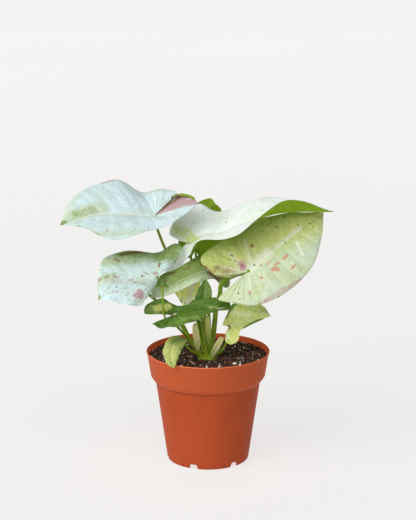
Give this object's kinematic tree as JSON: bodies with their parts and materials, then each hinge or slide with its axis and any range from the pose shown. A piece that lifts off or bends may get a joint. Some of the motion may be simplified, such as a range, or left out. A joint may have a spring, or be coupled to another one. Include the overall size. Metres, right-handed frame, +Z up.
{
  "type": "potted plant",
  "caption": "Small potted arrowhead vine: arrow-shaped pale variegated leaves on thin petioles, growing from soil in a tapered round plastic nursery pot.",
  "frame": {"origin": "centre of the pot's foot, on the surface that it stands on", "axes": "+Z up along the pot's axis, +X to the right and +Y to the back as the plant is seen in the picture"},
  "size_m": [0.229, 0.112, 0.238],
  "materials": {
    "terracotta": "satin",
    "soil": "matte",
    "stem": "satin",
    "mint": "satin",
    "lime": "satin",
    "green": "satin",
    "cream": "satin",
    "straw": "matte"
  },
  "bodies": {
    "root": {"pot": "terracotta", "soil": "soil", "stems": "stem", "leaf_upper_left": "mint", "leaf_upper_right": "mint", "leaf_left": "mint", "leaf_right": "lime", "leaf_middle": "lime", "leaf_small_right": "lime", "leaf_over_rim": "lime", "leaf_back": "green", "leaf_folded": "green", "leaf_upright": "green", "leaf_arrow": "green", "leaf_young": "cream", "shoot": "cream", "sheath_left": "straw", "sheath_right": "straw"}
  },
  "joints": []
}
